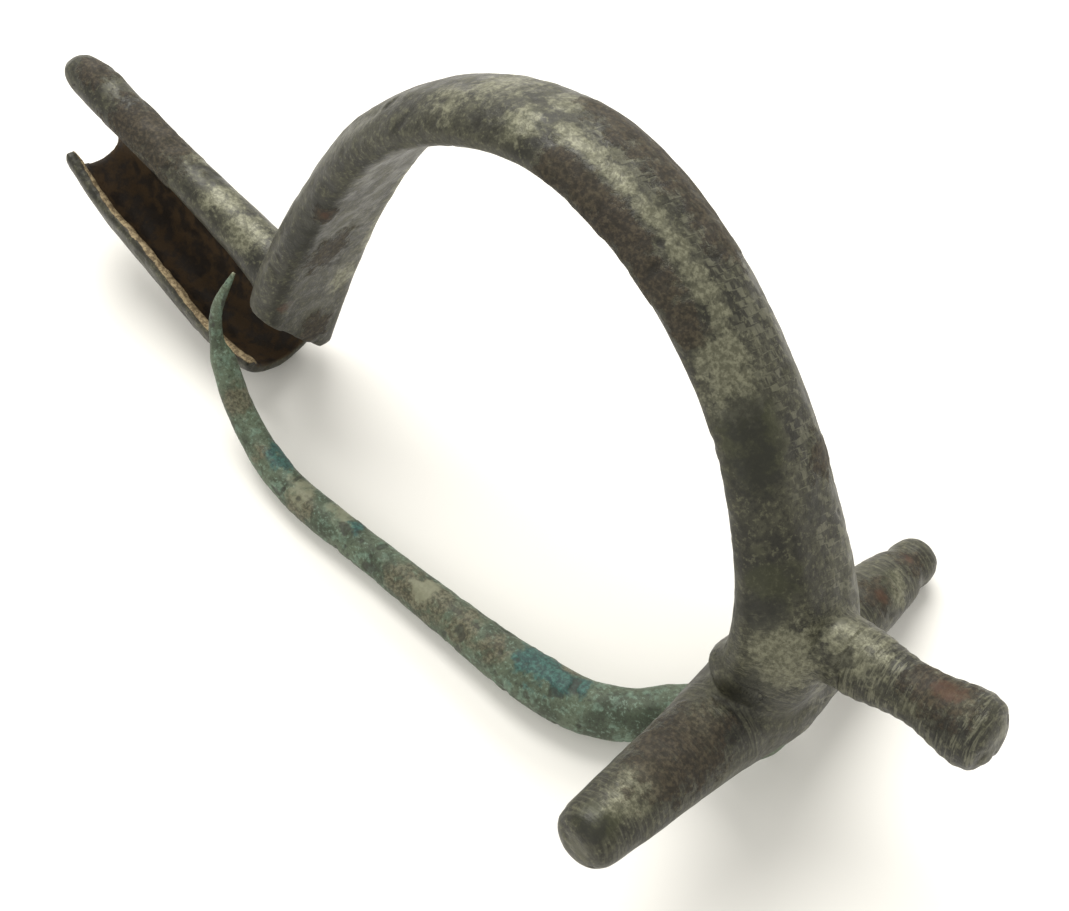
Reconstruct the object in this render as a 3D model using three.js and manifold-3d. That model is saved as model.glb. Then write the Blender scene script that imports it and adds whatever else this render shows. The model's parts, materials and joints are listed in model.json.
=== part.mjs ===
// Fibula brooch with a hinged pin: one copper-alloy casting, a bent pin and its axle.
// Sizes are in millimetres. The brooch's own frame has the hinge near its origin and the
// hinge axis along Y; +X runs forward to the knob and +Z up to the crown of the bow.
// The catch opens on the -Y side. The finished group is turned to the pose in which the
// brooch lies on a table: on one arm's end, the heel of the catch and the belly of the pin.

import * as THREE from 'three';
import { mergeVertices } from 'three/addons/utils/BufferGeometryUtils.js';
import Module from 'manifold-3d';

// ---------- Driving dimensions ----------

// The bow from the hub at the head to the heel at the foot. x and z place the crown line.
const bowStations = [
  { x: 1.3, z: -0.4, width: 6.8, thick: 3.4 },
  { x: 2.2, z: 2.6, width: 8.2, thick: 4.6 },
  { x: 1.5, z: 6.0, width: 8.0, thick: 4.0 },
  { x: -1.9, z: 10.3, width: 6.6, thick: 2.9 },
  { x: -6.4, z: 14.8, width: 5.6, thick: 2.5 },
  { x: -12.9, z: 18.4, width: 5.6, thick: 2.3 },
  { x: -20.1, z: 19.2, width: 5.8, thick: 2.2 },
  { x: -26.3, z: 16.5, width: 5.9, thick: 2.4 },
  { x: -31.0, z: 11.4, width: 6.0, thick: 2.6 },
  { x: -33.8, z: 3.9, width: 6.4, thick: 2.8 },
  { x: -35.2, z: -3.0, width: 6.8, thick: 3.1 },
  { x: -35.6, z: -8.6, width: 5.6, thick: 3.4 },
];
const bowTopShare = 0.46; // width of the flat top as a share of the bow's width
const bowSteps = 44;
// The leg's lower end is cut on a slant: high on the catch's open side, low on the other.
const legCut = { nearY: -3.4, nearZ: -4.0, farY: 1.5, farZ: -8.8 };

// The crossbar: distance along Y and radius, from the near arm's end to the far arm's.
const crossbarStations = [
  [-13.3, 1.0], [-12.9, 1.45], [-11.9, 1.62], [-9, 1.85], [-5.5, 2.1], [-2.6, 2.45], [0, 2.75],
  [2.6, 2.4], [5.5, 2.0], [9, 1.72], [10.9, 1.5], [11.6, 1.24], [12.2, 1.3], [12.9, 1.15], [13.3, 0.6],
];
const roundSides = 20;

// The knob: distance along its axis and radius. Its axis climbs from the hub.
const knobBase = { x: -0.5, z: 5.0 };
const knobClimb = 19; // degrees above the brooch's X axis
const knobStations = [
  [0, 1.7], [3.4, 1.68], [5.2, 1.42], [6.6, 1.32], [7.9, 1.54], [8.9, 1.74], [9.7, 1.62], [10.2, 1.1], [10.3, 0.5],
];

// The foot bar behind the bow: centre height, width and height of its oval section.
const footStations = [
  { x: -32.6, z: -4.6, width: 4.4, height: 3.2 },
  { x: -36.0, z: -4.2, width: 3.2, height: 3.1 },
  { x: -40.0, z: -4.0, width: 2.8, height: 2.6 },
  { x: -46.0, z: -4.0, width: 2.6, height: 2.4 },
  { x: -51.6, z: -4.0, width: 2.6, height: 2.4 },
  { x: -53.5, z: -4.1, width: 2.2, height: 2.0 },
  { x: -54.2, z: -4.1, width: 1.2, height: 1.1 },
];

// The catch: a trough of sheet thickness under the foot bar, open on the -Y side.
const catchStations = [
  { x: -50.6, lip: -6.9, floor: -9.2, back: 1.4 },
  { x: -47.0, lip: -8.0, floor: -10.6, back: 1.5 },
  { x: -42.0, lip: -8.5, floor: -11.3, back: 1.6 },
  { x: -37.5, lip: -9.2, floor: -11.7, back: 2.0 },
  { x: -34.8, lip: -9.0, floor: -11.1, back: 2.4 },
  { x: -33.4, lip: -8.5, floor: -10.4, back: 2.5 },
];
const catchRoot = { y: 0.9, z: -4.1 }; // outer edge of the trough's wall inside the foot bar
const catchWall = 0.7;
const catchLipY = -3.0;
const catchBackRim = -7.6; // height where the back wall starts to curve into the floor
const catchSteps = 14;

// The hinge: two lugs under the crossbar with a slot between them, the pin's pierced head
// and the axle through both. Lug and head sizes are distance along Y and radius.
const hinge = { x: 0, z: -2.2 };
const lugStations = [[-3.2, 1.2], [-2.8, 1.7], [-1.8, 2.0], [1.8, 2.0], [2.8, 1.7], [3.2, 1.2]];
const headStations = [[-1.3, 1.9], [-1.1, 2.25], [-0.5, 2.4], [0.5, 2.4], [1.1, 2.25], [1.3, 1.9]];
const headRadius = 2.4;
const headThick = 2.6;
const slotGap = 0.32;
const slotReach = 4.4; // how far the slot runs back from the hinge for the pin's shank
const axleRadius = 0.6;
const axleLength = 5.6;
const boreGap = 0.25;

// The pin's bent shank: places of its centre line and radius, from the head to the point.
const pinStations = [
  { at: [-0.4, 0.0, -2.9], radius: 0.9 },
  { at: [-1.9, -0.1, -4.3], radius: 1.0 },
  { at: [-3.0, -1.1, -5.4], radius: 1.2 },
  { at: [-4.2, -2.4, -6.4], radius: 1.34 },
  { at: [-6.4, -3.5, -7.3], radius: 1.4 },
  { at: [-9.6, -4.1, -8.1], radius: 1.36 },
  { at: [-13.5, -4.3, -8.9], radius: 1.17 },
  { at: [-17.6, -4.5, -9.6], radius: 1.04 },
  { at: [-21.5, -4.7, -10.3], radius: 0.98 },
  { at: [-25.2, -4.9, -10.9], radius: 0.95 },
  { at: [-28.2, -4.8, -11.1], radius: 0.88 },
  { at: [-30.6, -4.5, -10.7], radius: 0.82 },
  { at: [-32.3, -4.4, -9.7], radius: 0.77 },
  { at: [-33.4, -4.3, -8.6], radius: 0.74 },
  { at: [-34.1, -4.3, -7.8], radius: 0.68 },
  { at: [-34.6, -4.3, -7.2], radius: 0.44 },
  { at: [-35.1, -4.2, -6.2], radius: 0.38 },
  { at: [-35.3, -4.1, -5.0], radius: 0.33 },
  { at: [-35.2, -3.9, -3.7], radius: 0.26 },
  { at: [-35.1, -3.5, -2.4], radius: 0.12 },
];
const pinSteps = 72;
const pinSides = 12;

// The lying pose: turns about the brooch's X and then Y axis, in degrees.
const lyingRoll = -22.7;
const lyingPitch = 7.2;

const bronzePatina = { color: 0x4b4a3c, roughness: 0.62, metalness: 0.55 };
const greenPatina = { color: 0x5f7a6c, roughness: 0.75, metalness: 0.35 };

// ---------- Shape tools ----------

const wasm = await Module();
wasm.setup();

// Smooth value of one station size at a share of the way along the list of stations.
function sizeAlong(stations, share, readSize) {
  const place = share * (stations.length - 1);
  const index = Math.min(Math.floor(place), stations.length - 2);
  const t = place - index;
  const pick = (i) => readSize(stations[THREE.MathUtils.clamp(i, 0, stations.length - 1)]);
  const [before, start, end, after] = [pick(index - 1), pick(index), pick(index + 1), pick(index + 2)];
  const slopeIn = (end - before) / 2;
  const slopeOut = (after - start) / 2;
  const rise = end - start;
  return start + t * (slopeIn + t * (3 * rise - 2 * slopeIn - slopeOut + t * (slopeIn + slopeOut - 2 * rise)));
}

// Closed solid through rings of equal point counts, with a flat cap at each end.
function loft(rings) {
  const sides = rings[0].points.length;
  const positions = rings.flatMap((r) => r.points).flatMap((p) => [p.x, p.y, p.z]);
  const faces = [];
  for (let r = 0; r < rings.length - 1; r += 1) {
    for (let s = 0; s < sides; s += 1) {
      const a = r * sides + s;
      const b = r * sides + ((s + 1) % sides);
      faces.push(a, b, b + sides, a, b + sides, a + sides);
    }
  }
  const capFaces = (r) => {
    const contour = rings[r].outline.map(([a, b]) => new THREE.Vector2(a, b));
    const cap = THREE.ShapeUtils.triangulateShape(contour, []);
    return THREE.ShapeUtils.isClockWise(contour) ? cap.map(([a, b, c]) => [a, c, b]) : cap;
  };
  const last = rings.length - 1;
  capFaces(0).forEach(([a, b, c]) => faces.push(a, c, b));
  capFaces(last).forEach((cap) => faces.push(...cap.map((corner) => last * sides + corner)));
  const geometry = new THREE.BufferGeometry();
  geometry.setAttribute('position', new THREE.Float32BufferAttribute(positions, 3));
  geometry.setIndex(faces);
  return geometry;
}

// An outline laid in the plane that two directions span around a centre.
function ring(centre, sideways, upward, outline) {
  const place = ([a, b]) => centre.clone().addScaledVector(sideways, a).addScaledVector(upward, b);
  return { outline, points: outline.map(place) };
}

// Rings along a path of stations: each lies square to the path, with its second direction
// outward, away from the path's inner side, and its first one across.
function sweptRings(stations, steps, readPlace, outlineAt) {
  const at = (share) => new THREE.Vector3(...[0, 1, 2].map((axis) => sizeAlong(stations, share, (s) => readPlace(s)[axis])));
  const across = new THREE.Vector3(0, 1, 0);
  const rings = [];
  for (let i = 0; i <= steps; i += 1) {
    const share = i / steps;
    const along = at(Math.min(share + 0.005, 1)).sub(at(Math.max(share - 0.005, 0))).normalize();
    const outward = new THREE.Vector3().crossVectors(across, along).normalize();
    const sideways = new THREE.Vector3().crossVectors(along, outward);
    rings.push(ring(at(share), sideways, outward, outlineAt(share)));
  }
  return rings;
}

function ovalOutline(width, height, sides) {
  const outline = [];
  for (let s = 0; s < sides; s += 1) {
    const angle = (2 * Math.PI * s) / sides;
    outline.push([(width / 2) * Math.cos(angle), (height / 2) * Math.sin(angle)]);
  }
  return outline;
}

// Solid of a closed geometry; a surface whose faces point inwards is turned over first.
function toSolid(geometry) {
  const bare = geometry.clone();
  bare.deleteAttribute('normal');
  bare.deleteAttribute('uv');
  const merged = mergeVertices(bare, 1e-4);
  const vertProperties = new Float32Array(merged.attributes.position.array);
  const triVerts = new Uint32Array(merged.index.array);
  const solid = new wasm.Manifold(new wasm.Mesh({ numProp: 3, vertProperties, triVerts }));
  if (solid.volume() > 0) return solid;
  return new wasm.Manifold(new wasm.Mesh({ numProp: 3, vertProperties, triVerts: triVerts.reverse() }));
}

function toGeometry(solid) {
  const mesh = solid.getMesh();
  const geometry = new THREE.BufferGeometry();
  geometry.setAttribute('position', new THREE.BufferAttribute(new Float32Array(mesh.vertProperties), 3));
  geometry.setIndex(new THREE.BufferAttribute(new Uint32Array(mesh.triVerts), 1));
  return geometry;
}

function namedMesh(name, geometry, finish) {
  geometry.computeVertexNormals();
  const mesh = new THREE.Mesh(geometry, new THREE.MeshStandardMaterial(finish));
  mesh.name = name;
  return mesh;
}

// Rod along Y through the hinge, closed at both ends.
function hingeRod(radius, length) {
  const rod = new THREE.CylinderGeometry(radius, radius, length, roundSides);
  rod.translate(hinge.x, 0, hinge.z);
  return rod;
}

// ---------- Sub-parts of the casting ----------

// Bow section as shares of half the width and of the thickness: a low flat crown, two
// sloping shoulders, a blunt side and a flat inner face.
function bowOutline(width, thick) {
  const half = [[bowTopShare, -0.04], [0.82, -0.3], [1, -0.6], [0.96, -0.84], [0.78, -1]];
  const right = half.map(([a, b]) => [(a * width) / 2, b * thick]);
  const left = right.map(([a, b]) => [-a, b]).reverse();
  return [[0, 0], ...right, [0, -thick], ...left];
}

// The bow, with the slanted cut at the lower end of its leg.
function bow() {
  const outlineAt = (share) => bowOutline(
    sizeAlong(bowStations, share, (s) => s.width), sizeAlong(bowStations, share, (s) => s.thick));
  const whole = toSolid(loft(sweptRings(bowStations, bowSteps, (s) => [s.x, 0, s.z], outlineAt)));
  const normal = new THREE.Vector2(legCut.nearZ - legCut.farZ, legCut.farY - legCut.nearY).normalize();
  return whole.trimByPlane([0, normal.x, normal.y], normal.x * legCut.nearY + normal.y * legCut.nearZ);
}

// Turned solid about the Y axis through stations of distance and radius.
function turned(stations) {
  const profile = stations.map(([distance, radius]) => new THREE.Vector2(radius, distance));
  const start = new THREE.Vector2(0, stations[0][0]);
  const end = new THREE.Vector2(0, stations.at(-1)[0]);
  return new THREE.LatheGeometry([start, ...profile, end], roundSides);
}

function knob() {
  const shape = turned(knobStations);
  shape.rotateZ(-Math.PI / 2);
  shape.rotateY(-THREE.MathUtils.degToRad(knobClimb));
  shape.translate(knobBase.x, 0, knobBase.z);
  return shape;
}

function footBar() {
  const sideways = new THREE.Vector3(0, 1, 0);
  const upward = new THREE.Vector3(0, 0, 1);
  return loft(footStations.map((s) => {
    const centre = new THREE.Vector3(s.x, 0, s.z);
    return ring(centre, sideways, upward, ovalOutline(s.width, s.height, 12));
  }));
}

// The trough's section: down its back wall, round its floor and up to its lip, and back
// along the inner side. The outer side lies one wall outside the inner one.
function troughOutline(lip, floor, back) {
  const turns = 7;
  const inner = [];
  const outer = [];
  const middleY = (back + catchLipY) / 2;
  const radiusY = (back - catchLipY) / 2;
  for (let i = 0; i <= turns; i += 1) {
    const angle = (Math.PI * i) / turns;
    const rim = i < turns / 2 ? catchBackRim : lip;
    const depth = rim - floor;
    outer.push([middleY + radiusY * Math.cos(angle), rim - depth * Math.sin(angle)]);
    inner.push([middleY + (radiusY - catchWall) * Math.cos(angle), rim - (depth - catchWall) * Math.sin(angle)]);
  }
  return [[catchRoot.y, catchRoot.z], ...outer, ...inner.reverse(), [catchRoot.y - catchWall, catchRoot.z]];
}

function catchTrough() {
  const sideways = new THREE.Vector3(0, 1, 0);
  const upward = new THREE.Vector3(0, 0, 1);
  const rings = [];
  for (let i = 0; i <= catchSteps; i += 1) {
    const [x, lip, floor, back] = ['x', 'lip', 'floor', 'back']
      .map((size) => sizeAlong(catchStations, i / catchSteps, (s) => s[size]));
    rings.push(ring(new THREE.Vector3(x, 0, 0), sideways, upward, troughOutline(lip, floor, back)));
  }
  return loft(rings);
}

// Turned solid about the hinge's own axis: the lugs and the pin's head.
function turnedAtHinge(stations) {
  const shape = turned(stations);
  shape.translate(hinge.x, 0, hinge.z);
  return shape;
}

// The slot is round above the hinge and open below it, from its front to behind the shank.
function hingeSlot() {
  const clear = headRadius + slotGap;
  const slot = hingeRod(clear, headThick + 2 * slotGap);
  const mouth = new THREE.BoxGeometry(clear + slotReach, headThick + 2 * slotGap, 2 * clear);
  mouth.translate(hinge.x + (clear - slotReach) / 2, 0, hinge.z - clear);
  return toSolid(slot).add(toSolid(mouth));
}

// ---------- The pieces ----------

function broochBody() {
  const casting = [turned(crossbarStations), knob(), footBar(), catchTrough(), turnedAtHinge(lugStations)]
    .reduce((whole, part) => whole.add(toSolid(part)), bow());
  const bore = toSolid(hingeRod(axleRadius + boreGap, axleLength + 2 * boreGap));
  return namedMesh('brooch_body', toGeometry(casting.subtract(hingeSlot()).subtract(bore)), bronzePatina);
}

function pin() {
  const outlineAt = (share) => {
    const radius = sizeAlong(pinStations, share, (s) => s.radius);
    return ovalOutline(2 * radius, 2 * radius, pinSides);
  };
  const shank = toSolid(loft(sweptRings(pinStations, pinSteps, (s) => s.at, outlineAt)));
  const head = toSolid(turnedAtHinge(headStations));
  const eye = toSolid(hingeRod(axleRadius + boreGap, headThick + 2 * slotGap));
  return namedMesh('pin', toGeometry(shank.add(head).subtract(eye)), greenPatina);
}

function hingeAxle() {
  return namedMesh('hinge_axle', hingeRod(axleRadius, axleLength), bronzePatina);
}

const brooch = new THREE.Group();
brooch.add(broochBody(), pin(), hingeAxle());
brooch.rotation.set(THREE.MathUtils.degToRad(lyingRoll), THREE.MathUtils.degToRad(lyingPitch), 0, 'YXZ');

// The frame's origin is the middle of the underside of the whole part's bounding box.
const onTable = new THREE.Group();
onTable.add(brooch);
const extent = new THREE.Box3().setFromObject(onTable, true);
const middle = extent.getCenter(new THREE.Vector3());
onTable.position.set(-middle.x, -middle.y, -extent.min.z);

export default onTable;
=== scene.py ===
import json
import math
import time

import bpy
import numpy as np
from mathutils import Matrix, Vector


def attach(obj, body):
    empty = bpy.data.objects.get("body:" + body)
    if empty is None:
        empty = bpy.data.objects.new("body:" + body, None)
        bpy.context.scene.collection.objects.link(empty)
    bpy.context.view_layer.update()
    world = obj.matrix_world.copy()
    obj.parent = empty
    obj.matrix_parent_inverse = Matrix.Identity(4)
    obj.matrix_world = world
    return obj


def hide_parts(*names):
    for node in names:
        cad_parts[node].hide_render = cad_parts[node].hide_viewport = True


started = time.time()


def report(stage):
    print(f"[{time.time() - started:5.1f} s] {stage}")


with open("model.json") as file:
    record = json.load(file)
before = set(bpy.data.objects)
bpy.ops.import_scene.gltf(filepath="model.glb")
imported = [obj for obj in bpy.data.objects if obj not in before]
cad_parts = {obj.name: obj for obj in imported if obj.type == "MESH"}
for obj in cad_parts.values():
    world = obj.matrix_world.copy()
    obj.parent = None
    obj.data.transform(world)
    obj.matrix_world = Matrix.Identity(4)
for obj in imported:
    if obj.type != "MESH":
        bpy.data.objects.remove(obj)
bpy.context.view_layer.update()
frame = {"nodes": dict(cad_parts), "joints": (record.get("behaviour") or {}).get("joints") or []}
report("frame loaded")

# The brooch's own frame, in millimetres: hinge axis along Y near the origin, knob towards +X,
# crown of the bow up +Z. It lies on the table rolled about X, then pitched about Y.
lying = {"roll": -22.7, "pitch": 7.2, "hinge": (0.0, 0.0, -2.2)}


def lyingTurn():
    roll, pitch = math.radians(lying["roll"]), math.radians(lying["pitch"])
    aboutX = np.array([[1, 0, 0], [0, math.cos(roll), -math.sin(roll)], [0, math.sin(roll), math.cos(roll)]])
    aboutY = np.array([[math.cos(pitch), 0, math.sin(pitch)], [0, 1, 0], [-math.sin(pitch), 0, math.cos(pitch)]])
    return aboutY @ aboutX


turn = lyingTurn()
hingeAt = np.array(frame["joints"][0]["pos_m"]) * 1000
shift = hingeAt - turn @ np.array(lying["hinge"])


def toTable(points):
    return (points @ turn.T + shift) / 1000


# ---- numpy tools -------------------------------------------------------------------------

def alongStations(stations, count):
    # Catmull-Rom curve through the rows of a table, read at evenly spaced shares of its length in rows.
    table = np.array(stations, float)
    place = np.linspace(0, len(table) - 1, count)
    index = np.minimum(place.astype(int), len(table) - 2)
    t = (place - index)[:, None]
    pick = [table[np.clip(index + k, 0, len(table) - 1)] for k in (-1, 0, 1, 2)]
    slopeIn, slopeOut, rise = (pick[2] - pick[0]) / 2, (pick[3] - pick[1]) / 2, pick[2] - pick[1]
    return pick[1] + t * (slopeIn + t * (3 * rise - 2 * slopeIn - slopeOut + t * (slopeIn + slopeOut - 2 * rise)))


def framesAlong(centres):
    # Tangent from neighbouring centres; outward = Y x tangent, sideways = tangent x outward.
    tangent = np.gradient(centres, axis=0)
    tangent /= np.linalg.norm(tangent, axis=1, keepdims=True)
    outward = np.cross(np.array([[0.0, 1.0, 0.0]]), tangent)
    outward /= np.linalg.norm(outward, axis=1, keepdims=True)
    return np.cross(tangent, outward), outward


def sweepGrid(centres, sideways, outward, outlines):
    # Point = centre + sideways * a + outward * b, for the outline (a, b) at each centre.
    return (centres[:, None, :] + sideways[:, None, :] * outlines[:, :, :1] + outward[:, None, :] * outlines[:, :, 1:])


def roundedOutline(corners, count, softness):
    # Closed polygon resampled evenly by length, then averaged with its neighbours to round its corners.
    ring = np.vstack([corners, corners[:1]])
    step = np.linalg.norm(np.diff(ring, axis=0), axis=1)
    reach = np.concatenate([[0], np.cumsum(step)])
    at = np.linspace(0, reach[-1], count, endpoint=False)
    even = np.stack([np.interp(at, reach, ring[:, 0]), np.interp(at, reach, ring[:, 1])], 1)
    for _ in range(softness):
        even = (np.roll(even, 1, 0) + 2 * even + np.roll(even, -1, 0)) / 4
    return even


def closedSurface(grid):
    # Quads between neighbouring rows of a grid that closes round its columns, and a fan at each end.
    rows, columns = grid.shape[:2]
    index = np.arange(rows * columns).reshape(rows, columns)
    beside = np.roll(index, -1, 1)
    quads = np.stack([index[:-1], beside[:-1], beside[1:], index[1:]], -1).reshape(-1, 4)
    points = np.vstack([grid.reshape(-1, 3), grid[0].mean(0), grid[-1].mean(0)])
    first = np.stack([beside[0], index[0], np.full(columns, rows * columns)], 1)
    last = np.stack([index[-1], beside[-1], np.full(columns, rows * columns + 1)], 1)
    return points, quads.tolist() + first.tolist() + last.tolist()


def ringSurface(grid):
    # Quads of a grid that closes both round its columns and round its rows.
    rows, columns = grid.shape[:2]
    index = np.arange(rows * columns).reshape(rows, columns)
    below = np.roll(index, -1, 0)
    quads = np.stack([index, np.roll(index, -1, 1), np.roll(below, -1, 1), below], -1).reshape(-1, 4)
    return grid.reshape(-1, 3), quads.tolist()


def turnedGrid(stations, centre, axis, sides, count):
    # Radius r at distance d along the axis, turned round it: centre + axis * d + r * (u cos a + v sin a).
    table = alongStations(stations, count)
    axis = np.array(axis, float) / np.linalg.norm(axis)
    u = np.cross(axis, [0.3, 0.1, 0.9])
    u /= np.linalg.norm(u)
    v = np.cross(axis, u)
    angle = np.linspace(0, 2 * math.pi, sides, endpoint=False)
    around = np.outer(np.cos(angle), u) + np.outer(np.sin(angle), v)
    return np.array(centre, float) + table[:, :1, None] * axis + table[:, 1:2, None] * around[None]


def latticeNoise(points, grain, seed):
    # Value noise from -1 to 1: hashed corners of a lattice of that grain, blended by smooth steps.
    place = points / grain
    cell = np.floor(place).astype(np.int64)
    part = place - cell
    blend = part * part * (3 - 2 * part)
    total = np.zeros(len(points))
    for corner in range(8):
        bits = np.array([corner & 1, corner >> 1 & 1, corner >> 2 & 1])
        mixed = ((cell + bits) * np.array([73856093, 19349663, 83492791])).sum(1) + seed * 668265263
        mixed = (mixed ^ (mixed >> 13)) * 1274126177 & 0x7FFFFFFF
        mixed = (mixed ^ (mixed >> 15)) * 2246822519 & 0x7FFFFFFF
        weight = np.prod(np.where(bits, blend, 1 - blend), axis=1)
        total += weight * (mixed / 1073741824 - 1)
    return total


def cloudNoise(points, grain, seed, layers=3):
    # Sum of value noises, each of half the grain and half the height of the one before.
    return sum(latticeNoise(points, grain / 2 ** k, seed + k) / 2 ** k for k in range(layers)) / (2 - 2 ** (1 - layers))


def smoothStep(low, high, values):
    t = np.clip((values - low) / (high - low), 0, 1)
    return t * t * (3 - 2 * t)


def spots(points, places, rag=0.35, seed=5):
    # Largest of soft blobs: 1 inside each radius, falling to 0 outside it, with a noisy edge.
    noise = cloudNoise(points, 1.1, seed, 3)
    amount = np.zeros(len(points))
    for x, y, z, radius in places:
        away = np.linalg.norm(points - np.array([x, y, z]), axis=1) / radius
        amount = np.maximum(amount, 1.35 - 0.75 * away + rag * noise)
    return np.clip(amount, 0, 1)


def meshFrom(name, surfaces):
    points, faces, start = [], [], 0
    for surfacePoints, surfaceFaces in surfaces:
        points.append(surfacePoints)
        faces += [[corner + start for corner in face] for face in surfaceFaces]
        start += len(surfacePoints)
    mesh = bpy.data.meshes.new(name)
    mesh.from_pydata(np.vstack(points).tolist(), [], faces)
    mesh.update()
    return mesh


def remade(name, mesh, voxel, smoothings, cutter=None):
    # One skin round all the closed surfaces of a mesh; a cutter takes its shape out of it.
    piece = bpy.data.objects.new(name, mesh)
    bpy.context.collection.objects.link(piece)

    def skin():
        remesh = piece.modifiers.new("skin", "REMESH")
        remesh.mode, remesh.voxel_size, remesh.adaptivity = "VOXEL", voxel, 0

    skin()
    if cutter:
        cut = piece.modifiers.new("cut", "BOOLEAN")
        cut.operation, cut.solver, cut.object = "DIFFERENCE", "EXACT", cutter
        skin()
    smooth = piece.modifiers.new("smooth", "SMOOTH")
    smooth.factor, smooth.iterations = 0.5, smoothings
    made = bpy.data.meshes.new_from_object(piece.evaluated_get(bpy.context.evaluated_depsgraph_get()))
    piece.modifiers.clear()
    piece.data = made
    made.name = name
    return piece


def readPoints(mesh):
    points, normals = np.empty(len(mesh.vertices) * 3), np.empty(len(mesh.vertices) * 3)
    mesh.vertices.foreach_get("co", points)
    mesh.vertices.foreach_get("normal", normals)
    return points.reshape(-1, 3), normals.reshape(-1, 3)


def writeMask(mesh, name, values):
    mesh.attributes.new(name, "FLOAT", "POINT").data.foreach_set("value", np.clip(values, 0, 1).astype(np.float32))


def writeVector(mesh, name, vectors):
    mesh.attributes.new(name, "FLOAT_VECTOR", "POINT").data.foreach_set("vector", vectors.astype(np.float32).ravel())


def finishMesh(piece, points):
    mesh = piece.data
    mesh.vertices.foreach_set("co", toTable(points).ravel())
    mesh.polygons.foreach_set("use_smooth", np.ones(len(mesh.polygons), bool))
    mesh.update()


# ---- the casting ----------------------------------------------------------------------------

casting = {
    "voxel": 0.16,
    # crown line x and z, width, thickness, from the hub to the leg's end
    "bow": [(1.3, -0.4, 6.8, 3.4), (2.2, 2.6, 8.2, 4.6), (1.5, 6.0, 8.0, 4.0), (-1.9, 10.3, 6.6, 2.9),
            (-6.4, 14.8, 5.6, 2.5), (-12.9, 18.4, 5.6, 2.3), (-20.1, 19.2, 5.8, 2.2), (-26.3, 16.5, 5.9, 2.4),
            (-31.0, 11.4, 6.0, 2.6), (-33.8, 3.9, 6.4, 2.8), (-35.2, -3.0, 6.8, 3.1), (-35.6, -8.6, 5.6, 3.4)],
    "bowHalf": [(0.46, -0.04), (0.82, -0.3), (1, -0.6), (0.96, -0.84), (0.78, -1)],
    "legCut": ((-3.4, -4.0), (1.5, -8.8)),
    "crossbar": [(-13.3, 0.7), (-13.1, 1.25), (-12.6, 1.55), (-11.9, 1.64), (-9, 1.86), (-5.5, 2.1), (-2.6, 2.45),
                 (0, 2.7), (2.6, 2.4), (5.5, 2.0), (9, 1.72), (10.6, 1.52), (11.4, 1.26), (12.1, 1.3), (12.9, 1.15),
                 (13.25, 0.6)],
    "knobBase": (-0.5, 0, 5.0),
    "knobClimb": 19,
    "knob": [(0, 1.7), (3.4, 1.68), (5.2, 1.42), (6.6, 1.32), (7.9, 1.54), (8.9, 1.74), (9.7, 1.64), (10.15, 1.2),
             (10.3, 0.6)],
    # x, centre height, width, height of the foot bar's oval section
    "foot": [(-32.6, -4.6, 4.4, 3.2), (-36, -4.2, 3.2, 3.1), (-40, -4.0, 2.8, 2.6), (-46, -4.0, 2.6, 2.4),
             (-51.6, -4.0, 2.6, 2.4), (-53.5, -4.1, 2.2, 2.0), (-54.2, -4.1, 1.2, 1.1)],
    # x, lip height, floor height, far side of the trough
    "trough": [(-50.6, -6.9, -9.2, 1.4), (-47, -8.0, -10.6, 1.5), (-42, -8.5, -11.3, 1.6), (-37.5, -9.2, -11.7, 2.0),
               (-34.8, -9.0, -11.1, 2.4), (-33.4, -8.5, -10.4, 2.5)],
    "troughWall": 0.7, "lipY": -3.0, "backRim": -7.6, "root": (0.9, -4.1),
    "lugs": [(-3.2, 1.2), (-2.8, 1.7), (-1.8, 2.0), (0, 2.0), (1.8, 2.0), (2.8, 1.7), (3.2, 1.2)],
    "slot": {"radius": 2.72, "width": 3.24, "reach": 4.4, "bore": 0.85, "boreLength": 6.1},
}


def bowSurface():
    # Faceted section carried along the crown line; each section lies square to the line.
    table = alongStations(casting["bow"], 260)
    centres = np.stack([table[:, 0], np.zeros(len(table)), table[:, 1]], 1)
    half = np.array(casting["bowHalf"])
    corners = np.vstack([[(0, 0)], half, [(0, -1)], (half * [-1, 1])[::-1]])
    outline = roundedOutline(corners * [3, 2.5], 96, 3) / [3, 2.5]
    outlines = outline[None] * np.stack([table[:, 2] / 2, table[:, 3]], 1)[:, None, :]
    sideways, outward = framesAlong(centres)
    grid = sweepGrid(centres, sideways, outward, outlines)
    # Below the slanted cut at the leg's end the points are lifted on to the cut.
    (nearY, nearZ), (farY, farZ) = casting["legCut"]
    cutHeight = nearZ + (grid[..., 1] - nearY) * (farZ - nearZ) / (farY - nearY)
    atLeg = grid[..., 0] < -28
    grid[..., 2] = np.where(atLeg, np.maximum(grid[..., 2], np.minimum(cutHeight, nearZ)), grid[..., 2])
    return closedSurface(grid)


def footSurface():
    table = alongStations(casting["foot"], 90)
    angle = np.linspace(0, 2 * math.pi, 40, endpoint=False)
    grid = np.stack([np.repeat(table[:, :1], 40, 1), table[:, 2:3] / 2 * np.cos(angle),
                     table[:, 1:2] + table[:, 3:] / 2 * np.sin(angle)], -1)
    return closedSurface(grid)


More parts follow.
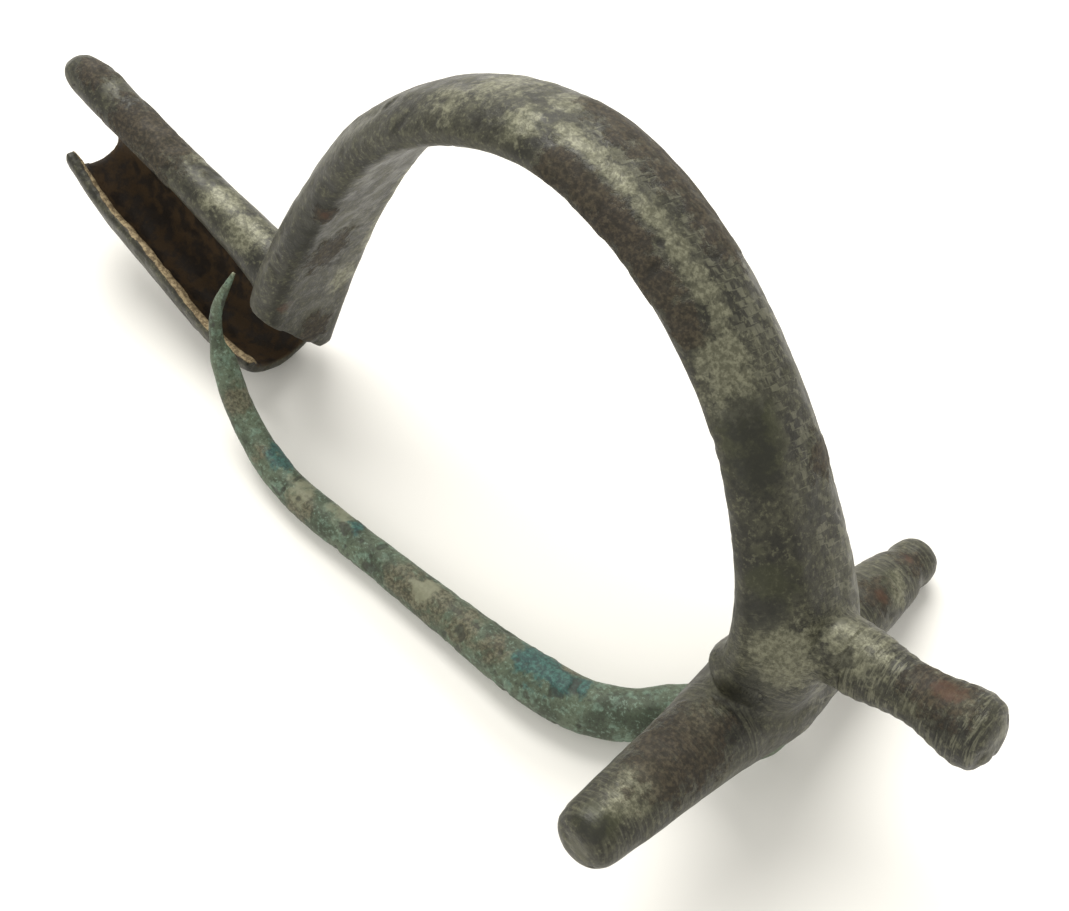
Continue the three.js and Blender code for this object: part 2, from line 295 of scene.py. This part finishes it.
def troughSurface():
    # Half an ellipse from the back wall round the floor to the lip, and the same one wall further in.
    table = alongStations(casting["trough"], 100)
    lip, floor, back = (table[:, k:k + 1] for k in (1, 2, 3))
    wall, rootY, rootZ = casting["troughWall"], *casting["root"]
    angle = np.linspace(0, math.pi, 40)
    rim = np.where(angle < math.pi / 2, casting["backRim"], lip)
    middle, reach = (back + casting["lipY"]) / 2, (back - casting["lipY"]) / 2
    outer = np.stack([middle + reach * np.cos(angle), rim - (rim - floor) * np.sin(angle)], -1)
    inner = np.stack([middle + (reach - wall) * np.cos(angle), rim - (rim - floor - wall) * np.sin(angle)], -1)
    one = np.ones_like(lip)
    ends = [np.stack([one * y, one * rootZ], -1) for y in (rootY, rootY - wall)]
    rise = np.linspace(0, 1, 12)[None, 1:-1, None]
    outerWall = ends[0] * (1 - rise) + outer[:, :1] * rise
    innerWall = inner[:, :1] * (1 - rise) + ends[1] * rise
    section = np.concatenate([ends[0], outerWall, outer, inner[:, ::-1], innerWall, ends[1]], 1)
    grid = np.concatenate([np.repeat(table[:, None, :1], section.shape[1], 1), section], -1)
    rows, columns = grid.shape[:2]
    points, faces = closedSurface(grid)
    # The ends are strips between the outer and the inner side, not fans: the section is a hook.
    faces = faces[:(rows - 1) * columns]
    for row, flip in ((0, 1), (rows - 1, -1)):
        for k in range(columns // 2 - 1):
            strip = [row * columns + c for c in (k, k + 1, columns - 2 - k, columns - 1 - k)]
            faces.append(strip[::-flip])
    return points[:rows * columns], faces


def slotCutter():
    slot = casting["slot"]
    at, half = lying["hinge"], slot["width"] / 2
    clear = slot["radius"]
    drum = closedSurface(turnedGrid([(-half, clear), (half, clear)], at, (0, 1, 0), 64, 12))
    bore = closedSurface(turnedGrid([(-slot["boreLength"] / 2, slot["bore"]), (slot["boreLength"] / 2, slot["bore"])],
                                    at, (0, 1, 0), 32, 12))
    x0, x1, z0, z1 = -slot["reach"], clear, at[2] - 2 * clear, at[2]
    corner = np.array([[(x0, -half, z0), (x1, -half, z0), (x1, -half, z1), (x0, -half, z1)],
                       [(x0, half, z0), (x1, half, z0), (x1, half, z1), (x0, half, z1)]], float)
    return remade("slot_cutter", meshFrom("slot_cutter", [drum, bore, closedSurface(corner)]), 0.12, 0)


def bowReach(points):
    # Length along the crown line, in millimetres, of its sample nearest to each point.
    table = alongStations(casting["bow"], 200)
    line = table[:, :2]
    reach = np.concatenate([[0], np.cumsum(np.linalg.norm(np.diff(line, axis=0), axis=1))])
    gap = (points[:, :1] - line[:, 0]) ** 2 + (points[:, 2:] - line[:, 1]) ** 2
    return reach[gap.argmin(1)]


# Where the patina changes. Each patch is a streak on one limb: limb, from, to, side, radius in mm.
# Along the bow and the pin a place is a station number of its table; on the other limbs it is in mm.
# The side goes from -1, the edge that the catch opens on, through the top at 0, to 1; "inside" is
# the bow's flat inner face.
patches = {
    "scuff": [("bow", 6.0, 4.6, -0.45, 0.55), ("bow", 4.4, 4.2, -0.7, 1.3), ("bow", 6.3, 6.3, -0.65, 0.95),
              ("bow", 6.2, 6.2, 0.1, 0.7), ("bow", 6.7, 6.7, 0, 1.5), ("bow", 7, 7, -0.6, 1.1),
              ("bow", 2.2, 2, -0.7, 1.5), ("inside", 8.5, 9.5, 0.85, 0.7), ("inside", 9.9, 9.9, 0.5, 1.0),
              ("arm", -11, -10, 0, 1.0), ("arm", -5.5, -5.5, -0.2, 1.0), ("arm", 9, 9, 0.5, 0.8),
              ("knob", 3.5, 3.5, -0.5, 1.5), ("knob", 8.5, 8.5, -0.3, 0.7), ("foot", -40, -40, -0.2, 1.1),
              ("foot", -37.5, -37.5, -0.4, 1.3), ("foot", -43.5, -43.5, 0.4, 0.7)],
    "crust": [("bow", 5.9, 4.6, -0.9, 0.85), ("bow", 6, 5, 0.5, 1.3), ("inside", 9.3, 9.3, -0.25, 1.5),
              ("inside", 8.7, 8.7, -0.85, 0.7), ("inside", 10.5, 10.5, 0.2, 1.2), ("bow", 3.5, 3.5, 0.5, 1.0), ("arm", -8.5, -6.5, 0, 1.9),
              ("arm", 7.5, 7.5, 0.2, 1.0), ("arm", 11, 11, 0, 0.8), ("knob", 7, 8, -0.2, 1.2),
              ("foot", -46.5, -46.5, -0.2, 3.0), ("foot", -52, -52, 0, 1.2)],
    "dark": [("bow", 1.6, 1.2, -0.9, 1.1), ("arm", -5, -5, 0.5, 0.8), ("bow", 4, 3.6, -0.7, 1.1),
             ("inside", 9, 8.7, -1, 1.4), ("arm", -13, -13, 0, 0.7), ("knob", 8.5, 8.5, -0.9, 0.9),
             ("bow", 2.6, 2.6, -0.9, 1.0), ("bow", 3.2, 3.2, 0, 0.9)],
    "moss": [("arm", -12.5, -12.5, 0, 1.0), ("bow", 4, 3.7, -0.7, 1.3), ("bow", 2.8, 2.8, -0.8, 1.2),
             ("bow", 6.3, 6.3, -0.65, 0.8), ("arm", 8.5, 8.5, 0.3, 1.0)],
    # Reddish spots: real rust on the bow and arms, and on the knob a painted highlight standing in for copper glints.
    "rustAndCopperGlint": [("inside", 8.7, 8.7, -0.85, 0.45), ("inside", 9.9, 9.9, -0.7, 0.5), ("arm", 11, 11, 0, 0.35),
             ("arm", 7.5, 7.5, 0.3, 0.4), ("knob", 7.5, 8.2, -0.2, 0.45)],
    "strokes": [("bow", 2, 2, -0.7, 2.2), ("bow", 1.8, 1.8, 0, 1.8)],
}


def readAt(table, column, places):
    # Linear reading of one column at places in the first column, whichever way that column runs.
    table = np.array(sorted(table), float)
    return np.interp(places, table[:, 0], table[:, column])


def limbPlaces(limb, places, side):
    # Points on the surface of one limb of the casting, at places along it and a side of it.
    turned, ones = side * math.pi / 3, np.ones(len(places))
    if limb in ("bow", "inside"):
        table = alongStations(casting["bow"], 20 * (len(casting["bow"]) - 1) + 1)
        centres = np.stack([table[:, 0], np.zeros(len(table)), table[:, 1]], 1)
        outward = framesAlong(centres)[1]
        row = np.rint(np.array(places) * 20).astype(int)
        half = np.vstack([[(0, 0)], casting["bowHalf"][:3]])
        drop = (-1 if limb == "inside" else np.interp(abs(side), half[:, 0], half[:, 1])) * table[row, 3]
        return centres[row] + outward[row] * drop[:, None] + np.outer(table[row, 2] / 2 * side, (0, 1, 0))
    if limb == "arm":
        radius = readAt(casting["crossbar"], 1, places)
        return np.stack([radius * math.sin(turned), places, radius * math.cos(turned)], 1)
    if limb == "knob":
        climb = math.radians(casting["knobClimb"])
        along, up = np.array((math.cos(climb), 0, math.sin(climb))), np.array((-math.sin(climb), 0, math.cos(climb)))
        radius = readAt(casting["knob"], 1, places)
        across = math.sin(turned) * np.array((0, 1, 0)) + math.cos(turned) * up
        return np.array(casting["knobBase"]) + np.outer(places, along) + np.outer(radius, across)
    centre, width, height = (readAt(casting["foot"], column, places) for column in (1, 2, 3))
    return np.stack([places * ones, width / 2 * math.sin(turned), centre + height / 2 * math.cos(turned)], 1)


def streaks(placesOf, patchList, gap=12):
    # Spots at even gaps along each streak, as x, y, z, radius.
    found = []
    for limb, start, end, side, radius in patchList:
        places = placesOf(limb, np.linspace(start, end, gap if start != end else 1), side)
        found += [(*place, radius) for place in places]
    return found


def buildCasting():
    climb = math.radians(casting["knobClimb"])
    surfaces = [bowSurface(), footSurface(), troughSurface(),
                closedSurface(turnedGrid(casting["crossbar"], (0, 0, 0), (0, 1, 0), 72, 220)),
                closedSurface(turnedGrid(casting["knob"], casting["knobBase"],
                                         (math.cos(climb), 0, math.sin(climb)), 64, 90)),
                closedSurface(turnedGrid(casting["lugs"], lying["hinge"], (0, 1, 0), 48, 40))]
    cutter = slotCutter()
    piece = remade("bow_casting", meshFrom("bow_casting", surfaces), casting["voxel"], 5, cutter)
    bpy.data.objects.remove(cutter)
    mesh = piece.data
    points, normals = readPoints(mesh)
    report(f"casting skinned: {len(points)} points")

    masks = {name: spots(points, streaks(limbPlaces, patchList), 0.4, 11 + k)
             for k, (name, patchList) in enumerate(patches.items())}
    reach = bowReach(points)
    x, y, z = points.T
    onFoot = smoothStep(-35.0, -36.5, x)
    inTrough = smoothStep(-5.2, -6.4, z) * smoothStep(-33.0, -33.6, x)
    # The trough's inner side: normals that face the middle of its hollow. It is painted dark brown: earth on its floor,
    # and painted shade on its back wall.
    hollow = np.stack([np.zeros(len(x)), -1.0 - y, -7.4 - z], 1)
    hollow /= np.linalg.norm(hollow, axis=1, keepdims=True)
    masks["troughEarthAndShade"] = inTrough * smoothStep(0.05, 0.45, (hollow * normals).sum(1))
    # Soil lies along the lip: near the line at the lip's height, on the catch's open side.
    lipHeight = readAt(casting["trough"], 1, x)
    fromLip = np.hypot(y - casting["lipY"] - casting["troughWall"] / 2, z - lipHeight)
    torn = 0.4 * cloudNoise(points, 1.1, 15, 3)
    masks["soil"] = masks["troughEarthAndShade"] * np.clip(1.35 - 0.75 * fromLip / 0.85 + torn, 0, 1)
    onArm = smoothStep(2.8, 3.8, np.abs(y)) * smoothStep(-6, -4, x) * smoothStep(4.5, 3.5, z)
    along = np.array([math.cos(climb), 0, math.sin(climb)])
    knobReach = (points - np.array(casting["knobBase"])) @ along
    onKnob = smoothStep(2.6, 3.6, knobReach) * smoothStep(3.4, 4.4, z)
    onBow = (1 - onFoot) * (1 - onArm) * (1 - onKnob)
    masks["filed"] = np.maximum.reduce([onKnob, 0.45 * onArm, masks.pop("strokes")])
    masks["grain"] = onBow * smoothStep(-22, -17, x) * smoothStep(-0.6, 0.6, y + 0.7 + 0.5 * latticeNoise(points, 2.0, 3))
    # Distance along each limb in x, for marks that run across it.
    limb = np.where(onArm > 0.5, y, np.where(onKnob > 0.5, knobReach, np.where(onFoot > 0.5, x, reach + 0.55 * y)))
    writeVector(mesh, "limb", np.stack([limb, y, z], 1))

    # Heights in millimetres: broad unevenness, hammered small hollows, crust standing proud, pits.
    rough = cloudNoise(points, 3.2, 21, 3)
    fine = cloudNoise(points, 0.8, 22, 3)
    pits = smoothStep(0.32, 0.62, latticeNoise(points, 0.55, 23)) * smoothStep(-0.2, 0.5, latticeNoise(points, 2.6, 24))
    crustEdge = smoothStep(0.45, 0.6, masks["crust"] + 0.25 * fine)
    height = 0.07 * rough + 0.03 * fine + 0.05 * crustEdge - 0.07 * pits * (1 - masks["scuff"])
    height += 0.05 * smoothStep(0.5, 0.65, masks["scuff"] + 0.2 * fine) * smoothStep(-23.2, -21.5, x) * (x < -20)
    height += 0.10 * masks["soil"] * (0.5 + 0.5 * fine)
    height -= 0.02 * onKnob * np.sin(knobReach * 2 * math.pi / 0.62 + 1.5 * rough)
    for name, values in masks.items():
        writeMask(mesh, name, values)
    writeMask(mesh, "pitted", pits)
    finishMesh(piece, points + normals * height[:, None])
    report(f"casting finished: {len(mesh.polygons)} faces")
    return piece


# ---- the pin -----------------------------------------------------------------------------------

pin = {
    "voxel": 0.1,
    # x, y, z of the centre line and radius, from the head to the point
    "shank": [(-1.2, 0.0, -3.4, 0.95), (-1.9, -0.1, -4.3, 1.0), (-3.0, -1.1, -5.4, 1.2), (-4.2, -2.4, -6.4, 1.34),
              (-6.4, -3.5, -7.3, 1.4), (-9.6, -4.1, -8.1, 1.36), (-13.5, -4.3, -8.9, 1.17), (-17.6, -4.5, -9.6, 1.04),
              (-21.5, -4.7, -10.3, 0.98), (-25.2, -4.9, -10.9, 0.95), (-28.2, -4.8, -11.1, 0.88),
              (-30.6, -4.5, -10.7, 0.82), (-32.3, -4.4, -9.7, 0.77), (-33.4, -4.3, -8.6, 0.74),
              (-34.1, -4.3, -7.8, 0.68), (-34.6, -4.3, -7.2, 0.44), (-35.1, -4.2, -6.2, 0.38),
              (-35.3, -4.1, -5.0, 0.33), (-35.2, -3.9, -3.7, 0.26), (-35.1, -3.5, -2.4, 0.13)],
    "head": {"outer": [(-1.3, 1.9), (-1.1, 2.25), (-0.5, 2.4), (0.5, 2.4), (1.1, 2.25), (1.3, 1.9)], "bore": 0.85},
    "teal": [("pin", 10.1, 10, 0.3, 0.75), ("pin", 5, 4.3, 0, 0.9), ("pin", 8.1, 8.1, 0.2, 0.5)],
    "earth": [("pin", 7, 6.5, -0.6, 1.2), ("pin", 6, 6, -0.5, 1.2), ("pin", 9, 9, -0.8, 1.0), ("pin", 5.5, 5.5, -0.4, 0.9),
              ("pin", 10.3, 10.3, -0.7, 0.6), ("pin", 4.5, 4.5, 0.6, 0.6), ("pin", 11.8, 11.8, -0.4, 0.9)],
    # Pale worn spots; the small one at the point is a painted highlight standing in for the tip's glint.
    "bareAndHighlight": [("pin", 6.7, 6.7, -0.3, 0.7), ("pin", 9.2, 9.2, 0, 0.8), ("pin", 8.4, 8.4, 0.4, 0.9), ("pin", 19, 19, 0, 0.3)],
}


def headSurface():
    # Closed section between the bore and the outer profile, turned round the hinge axis.
    outer, bore = np.array(pin["head"]["outer"]), pin["head"]["bore"]
    inner = np.stack([outer[::-1, 0], np.full(len(outer), bore)], 1)
    section = roundedOutline(np.vstack([outer, inner]), 60, 2)
    angle = np.linspace(0, 2 * math.pi, 64, endpoint=False)[:, None]
    grid = np.stack([section[:, 1] * np.cos(angle), np.repeat(section[None, :, 0], 64, 0),
                     section[:, 1] * np.sin(angle)], -1) + np.array(lying["hinge"])
    return ringSurface(grid)


def pinPlaces(limb, places, side):
    # Points on the shank's surface, at station numbers along it and a side of its top.
    table = alongStations(pin["shank"], 20 * (len(pin["shank"]) - 1) + 1)
    row = np.rint(np.array(places) * 20).astype(int)
    turned = side * math.pi / 3
    across = np.array((0, math.sin(turned), math.cos(turned)))
    return table[row, :3] + np.outer(table[row, 3], across)


def buildPin():
    table = alongStations(pin["shank"], 420)
    centres = table[:, :3]
    sideways, outward = framesAlong(centres)
    angle = np.linspace(0, 2 * math.pi, 32, endpoint=False)
    circle = np.stack([np.cos(angle), np.sin(angle)], 1)
    shank = closedSurface(sweepGrid(centres, sideways, outward, table[:, 3:4, None] * circle[None]))
    piece = remade("bent_pin", meshFrom("bent_pin", [shank, headSurface()]), pin["voxel"], 4)
    mesh = piece.data
    points, normals = readPoints(mesh)
    gaps = ((points[:, None, ::2] - centres[None, ::6, ::2]) ** 2).sum(-1)
    nearest = gaps.argmin(1) * 6
    reach = np.concatenate([[0], np.cumsum(np.linalg.norm(np.diff(centres, axis=0), axis=1))])[nearest]
    masks = {name: spots(points, streaks(pinPlaces, pin[name]), 0.45, 41 + k)
             for k, name in enumerate(("teal", "earth", "bareAndHighlight"))}
    rough = cloudNoise(points, 2.2, 31, 3)
    fine = cloudNoise(points, 0.6, 32, 3)
    thin = np.clip(table[nearest, 3] / 1.0, 0.25, 1)
    pits = smoothStep(0.3, 0.6, latticeNoise(points, 0.5, 33)) * smoothStep(-0.3, 0.4, latticeNoise(points, 2.2, 34))
    height = (0.07 * rough + 0.035 * fine + 0.05 * smoothStep(0.5, 0.65, masks["teal"] + 0.2 * fine) - 0.07 * pits) * thin
    for name, values in masks.items():
        writeMask(mesh, name, values)
    writeMask(mesh, "pitted", pits)
    writeVector(mesh, "limb", np.stack([reach, points[:, 1], points[:, 2]], 1))
    finishMesh(piece, points + normals * height[:, None])
    report(f"pin finished: {len(mesh.polygons)} faces")
    return piece


# ---- materials -----------------------------------------------------------------------------------

def colour(code):
    # sRGB hex to linear light.
    parts = [int(code[k:k + 2], 16) / 255 for k in (1, 3, 5)]
    return [c / 12.92 if c <= 0.04045 else ((c + 0.055) / 1.055) ** 2.4 for c in parts] + [1.0]


def addNode(tree, kind, settings=None, links=None):
    node = tree.nodes.new("ShaderNode" + kind)
    for name, value in (settings or {}).items():
        if isinstance(name, str) and hasattr(node, name):
            setattr(node, name, value)
        else:
            node.inputs[name].default_value = value
    for name, socket in (links or {}).items():
        tree.links.new(socket, node.inputs[name])
    return node


def newMaterial(name):
    material = bpy.data.materials.new(name)
    material.use_nodes = True
    tree = material.node_tree
    tree.nodes.clear()
    return material, tree


def mask(tree, name):
    return addNode(tree, "Attribute", {"attribute_name": name}).outputs["Fac"]


def limb(tree):
    return addNode(tree, "Attribute", {"attribute_name": "limb"}).outputs["Vector"]


def noise(tree, grain, detail=3, vector=None, roughness=0.55, distortion=0.0):
    # grain in millimetres; the place is the object's own coordinates in metres, or a given vector in mm
    place = vector or addNode(tree, "TexCoord").outputs["Object"]
    scale = (1 if vector else 1000) / grain
    settings = {"Scale": scale, "Detail": detail, "Roughness": roughness, "Distortion": distortion}
    return addNode(tree, "TexNoise", settings, {"Vector": place}).outputs["Fac"]


def stretched(tree, scales):
    # The limb place squeezed on each axis, for marks longer one way than the other.
    return addNode(tree, "Mapping", {"Scale": scales}, {"Vector": limb(tree)}).outputs["Vector"]


def ramp(tree, value, low, high, bottom=0.0, top=1.0):
    settings = {"interpolation_type": "SMOOTHSTEP", "From Min": low, "From Max": high, "To Min": bottom, "To Max": top}
    return addNode(tree, "MapRange", settings, {"Value": value}).outputs["Result"]


def maths(tree, operation, first, second):
    settings, links = {"operation": operation}, {}
    for index, value in enumerate((first, second)):
        (settings if isinstance(value, float) else links)[index] = value
    return addNode(tree, "Math", settings, links).outputs["Value"]


def ragged(tree, value, texture, low, high, amount):
    # A soft mask broken up by a texture before its edge is made sharp.
    raised = maths(tree, "ADD", value, maths(tree, "MULTIPLY", maths(tree, "SUBTRACT", texture, 0.5), float(amount)))
    return ramp(tree, raised, low, high)


def blendColour(tree, factor, under, over):
    settings, links = {"data_type": "RGBA"}, {0: factor}
    for index, value in ((6, under), (7, over)):
        if isinstance(value, str):
            settings[index] = colour(value)
        else:
            links[index] = value
    return addNode(tree, "Mix", settings, links).outputs[2]


def bronzePatina():
    # Leaded bronze, cast, filed and long buried: a thin dark olive skin, rubbed pale and matt in
    # patches, with brown earth crust left in the hollows; inside the catch's trough the dark brown is partly
    # painted shade. Low shine, hardly any metal showing.
    material, tree = newMaterial("bronze_patina")
    broad, middle = noise(tree, 2.6, 4), noise(tree, 0.85, 4)
    torn = noise(tree, 0.55, 5, roughness=0.72)       # breaks the patches' edges
    speck = noise(tree, 0.24, 3, roughness=0.7)       # crystals of corrosion
    scratch = noise(tree, 1, 3, stretched(tree, (7.5, 1.1, 1.1)), 0.6)   # file strokes, about 0.13 mm apart
    worm = noise(tree, 1, 2, stretched(tree, (3.4, 1.0, 1.0)), 0.6, 0.6)    # etched grain, about 0.3 mm

    base = blendColour(tree, ramp(tree, broad, 0.35, 0.66), "#23221a", "#38372a")
    base = blendColour(tree, ramp(tree, middle, 0.5, 0.68, 0, 0.6), base, "#4c4b3b")
    base = blendColour(tree, ramp(tree, speck, 0.52, 0.68, 0, 0.5), base, "#67664f")
    base = blendColour(tree, ramp(tree, speck, 0.46, 0.36, 0, 0.6), base, "#191811")
    grained = maths(tree, "MULTIPLY", mask(tree, "grain"), ramp(tree, worm, 0.5, 0.6))
    base = blendColour(tree, maths(tree, "MULTIPLY", grained, 0.5), base, "#6f6e5b")
    filed = maths(tree, "MULTIPLY", mask(tree, "filed"), ramp(tree, scratch, 0.48, 0.62))
    base = blendColour(tree, maths(tree, "MULTIPLY", filed, 0.55), base, "#73725e")

    moss = ragged(tree, mask(tree, "moss"), middle, 0.3, 1.0, 1.4)
    base = blendColour(tree, maths(tree, "MULTIPLY", moss, 0.6), base, "#34361f")
    scuff = ragged(tree, mask(tree, "scuff"), torn, 0.35, 1.0, 2.4)
    pale = blendColour(tree, ramp(tree, speck, 0.4, 0.62), "#5a5946", "#7f7e68")
    base = blendColour(tree, maths(tree, "MULTIPLY", scuff, 0.75), base, pale)
    dark = ragged(tree, mask(tree, "dark"), torn, 0.4, 1.0, 2.2)
    base = blendColour(tree, maths(tree, "MULTIPLY", dark, 0.75), base, "#1d1d16")
    crust = ragged(tree, mask(tree, "crust"), torn, 0.4, 0.85, 2.2)
    earth = blendColour(tree, ramp(tree, speck, 0.42, 0.62), "#29231a", "#443a2c")
    base = blendColour(tree, maths(tree, "MULTIPLY", crust, 0.75), base, earth)
    # Reddish rust spots; on the knob the same colour is a painted highlight for its copper glints.
    rustAndCopperGlint = ragged(tree, mask(tree, "rustAndCopperGlint"), torn, 0.4, 1.1, 2.0)
    base = blendColour(tree, maths(tree, "MULTIPLY", rustAndCopperGlint, 0.6), base, "#4d3120")
    base = blendColour(tree, ramp(tree, mask(tree, "pitted"), 0.2, 0.9, 0, 0.6), base, "#19170f")
    # Inside the trough: dark brown earth on the floor, and painted shade darkening the back wall.
    troughEarthAndShade = blendColour(tree, ramp(tree, middle, 0.4, 0.62), "#261d13", "#46351f")
    base = blendColour(tree, mask(tree, "troughEarthAndShade"), base, troughEarthAndShade)
    soil = ragged(tree, mask(tree, "soil"), middle, 0.4, 0.6, 1.3)
    sand = blendColour(tree, ramp(tree, speck, 0.4, 0.6), "#6b5c43", "#a08f6e")
    base = blendColour(tree, soil, base, sand)

    matt = maths(tree, "MAXIMUM", maths(tree, "MAXIMUM", crust, soil), mask(tree, "troughEarthAndShade"))
    shine = ramp(tree, middle, 0.35, 0.65, 0.4, 0.56)
    roughness = maths(tree, "ADD", shine, maths(tree, "MULTIPLY", matt, 0.25))
    relief = maths(tree, "ADD", maths(tree, "MULTIPLY", speck, 0.5), maths(tree, "MULTIPLY", middle, 0.8))
    strokes = maths(tree, "MULTIPLY", mask(tree, "filed"), scratch)
    relief = maths(tree, "ADD", relief, maths(tree, "MULTIPLY", strokes, 1.1))
    relief = maths(tree, "ADD", relief, maths(tree, "MULTIPLY", crust, 0.5))
    bump = addNode(tree, "Bump", {"Strength": 0.85, "Distance": 0.00006}, {"Height": relief}).outputs["Normal"]
    surface = addNode(tree, "BsdfPrincipled", {"Metallic": 0.3, "Specular IOR Level": 0.5},
                      {"Base Color": base, "Roughness": roughness, "Normal": bump})
    addNode(tree, "OutputMaterial", links={"Surface": surface.outputs[0]})
    return material


def greenPatina():
    # A drawn copper-alloy rod, corroded right through its skin: chalky grey-green carbonate, with
    # teal blooms and earth in its pits. Matt all over, so it only catches broad light.
    material, tree = newMaterial("green_patina")
    broad, middle = noise(tree, 1.9, 4), noise(tree, 0.6, 4)
    speck = noise(tree, 0.2, 3, roughness=0.7)
    base = blendColour(tree, ramp(tree, broad, 0.36, 0.62), "#37402f", "#535e4a")
    base = blendColour(tree, ramp(tree, middle, 0.5, 0.66, 0, 0.7), base, "#647a68")
    base = blendColour(tree, ramp(tree, speck, 0.53, 0.68, 0, 0.5), base, "#7f9683")
    base = blendColour(tree, ramp(tree, speck, 0.45, 0.35, 0, 0.6), base, "#23261c")
    earth = ragged(tree, mask(tree, "earth"), middle, 0.35, 1.0, 2.2)
    brown = blendColour(tree, ramp(tree, speck, 0.4, 0.6), "#413c2a", "#69634d")
    base = blendColour(tree, maths(tree, "MULTIPLY", earth, 0.8), base, brown)
    # Pale worn spots, and at the point a painted highlight for the tip's glint.
    bareAndHighlight = ragged(tree, mask(tree, "bareAndHighlight"), middle, 0.4, 1.0, 2.2)
    base = blendColour(tree, maths(tree, "MULTIPLY", bareAndHighlight, 0.7), base, "#83846c")
    teal = ragged(tree, mask(tree, "teal"), middle, 0.4, 0.9, 2.0)
    bloom = blendColour(tree, ramp(tree, speck, 0.42, 0.62), "#173c3c", "#2c5f58")
    base = blendColour(tree, maths(tree, "MULTIPLY", teal, 0.8), base, bloom)
    base = blendColour(tree, ramp(tree, mask(tree, "pitted"), 0.2, 0.9, 0, 0.7), base, "#2b2c22")
    relief = maths(tree, "ADD", maths(tree, "MULTIPLY", speck, 0.5), maths(tree, "MULTIPLY", middle, 0.9))
    bump = addNode(tree, "Bump", {"Strength": 0.8, "Distance": 0.00006}, {"Height": relief}).outputs["Normal"]
    surface = addNode(tree, "BsdfPrincipled", {"Metallic": 0.15, "Roughness": 0.58},
                      {"Base Color": base, "Normal": bump})
    addNode(tree, "OutputMaterial", links={"Surface": surface.outputs[0]})
    return material


def axleBronze():
    # The same bronze, drawn to wire and worn smooth inside the hinge: darker, with a slight shine.
    material, tree = newMaterial("axle_bronze")
    base = blendColour(tree, ramp(tree, noise(tree, 0.6, 3), 0.4, 0.62), "#3a3122", "#5c5038")
    surface = addNode(tree, "BsdfPrincipled", {"Metallic": 0.6, "Roughness": 0.42}, {"Base Color": base})
    addNode(tree, "OutputMaterial", links={"Surface": surface.outputs[0]})
    return material


def paperFloor():
    # Matt white paper board, a little warm.
    material, tree = newMaterial("paper_floor")
    tint = blendColour(tree, ramp(tree, noise(tree, 60, 2), 0.35, 0.65), "#f3f1eb", "#f6f4ee")
    surface = addNode(tree, "BsdfPrincipled", {"Roughness": 0.85, "Specular IOR Level": 0.2}, {"Base Color": tint})
    addNode(tree, "OutputMaterial", links={"Surface": surface.outputs[0]})
    return material


# ---- the scene ------------------------------------------------------------------------------------

bodyPiece = buildCasting()
bodyPiece.data.materials.append(bronzePatina())
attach(bodyPiece, "brooch")
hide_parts("brooch_body")

pinPiece = buildPin()
pinPiece.data.materials.append(greenPatina())
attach(pinPiece, "pin")
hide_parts("pin")

axle = frame["nodes"]["hinge_axle"]
axle.data.materials.clear()
axle.data.materials.append(axleBronze())
report("materials made")


def makeFloor():
    # A square sheet 1.6 m wide, a hair below the lowest point of the brooch.
    mesh = bpy.data.meshes.new("floor")
    low, half = -0.00005, 0.8
    mesh.from_pydata([(-half, -half, low), (half, -half, low), (half, half, low), (-half, half, low)], [], [(0, 1, 2, 3)])
    mesh.materials.append(paperFloor())
    floor = bpy.data.objects.new("floor", mesh)
    bpy.context.collection.objects.link(floor)


lamps = [
    # name, place, look at, width, power: a wide soft window high on the crown's side, and a weak fill
    ("window", (-0.22, 0.20, 0.36), (0.0, 0.0, 0.01), 0.40, 2.7),
    ("fill", (0.10, -0.45, 0.35), (0.0, 0.0, 0.01), 0.40, 0.5),
]


def aim(thing, place, target):
    # Local -Z points from the place to the target.
    thing.location = place
    thing.rotation_euler = (Vector(target) - Vector(place)).to_track_quat("-Z", "Y").to_euler()


def lightScene():
    for name, place, target, width, power in lamps:
        light = bpy.data.lights.new(name, "AREA")
        light.shape, light.size, light.energy = "DISK", width, power
        light.color = (1.0, 0.985, 0.96)
        lamp = bpy.data.objects.new(name, light)
        bpy.context.collection.objects.link(lamp)
        aim(lamp, place, target)
    world = bpy.data.worlds.new("studio")
    world.use_nodes = True
    sky = world.node_tree.nodes["Background"]
    sky.inputs["Color"].default_value = colour("#fdfcf8")
    sky.inputs["Strength"].default_value = 0.8
    bpy.context.scene.world = world


def placeCamera():
    camera = bpy.data.cameras.new("camera")
    camera.lens, camera.sensor_width = 57.25, 36
    camera.clip_start, camera.clip_end = 0.005, 5
    eye = bpy.data.objects.new("camera", camera)
    bpy.context.collection.objects.link(eye)
    eye.location = (0.04121, -0.02066, 0.08239)
    eye.rotation_euler = [math.radians(a) for a in (28.131, 6.394, 47.635)]
    bpy.context.scene.camera = eye


makeFloor()
lightScene()
placeCamera()
bpy.context.scene.view_settings.view_transform = "Standard"
report("lights and camera set")

bpy.context.view_layer.update()
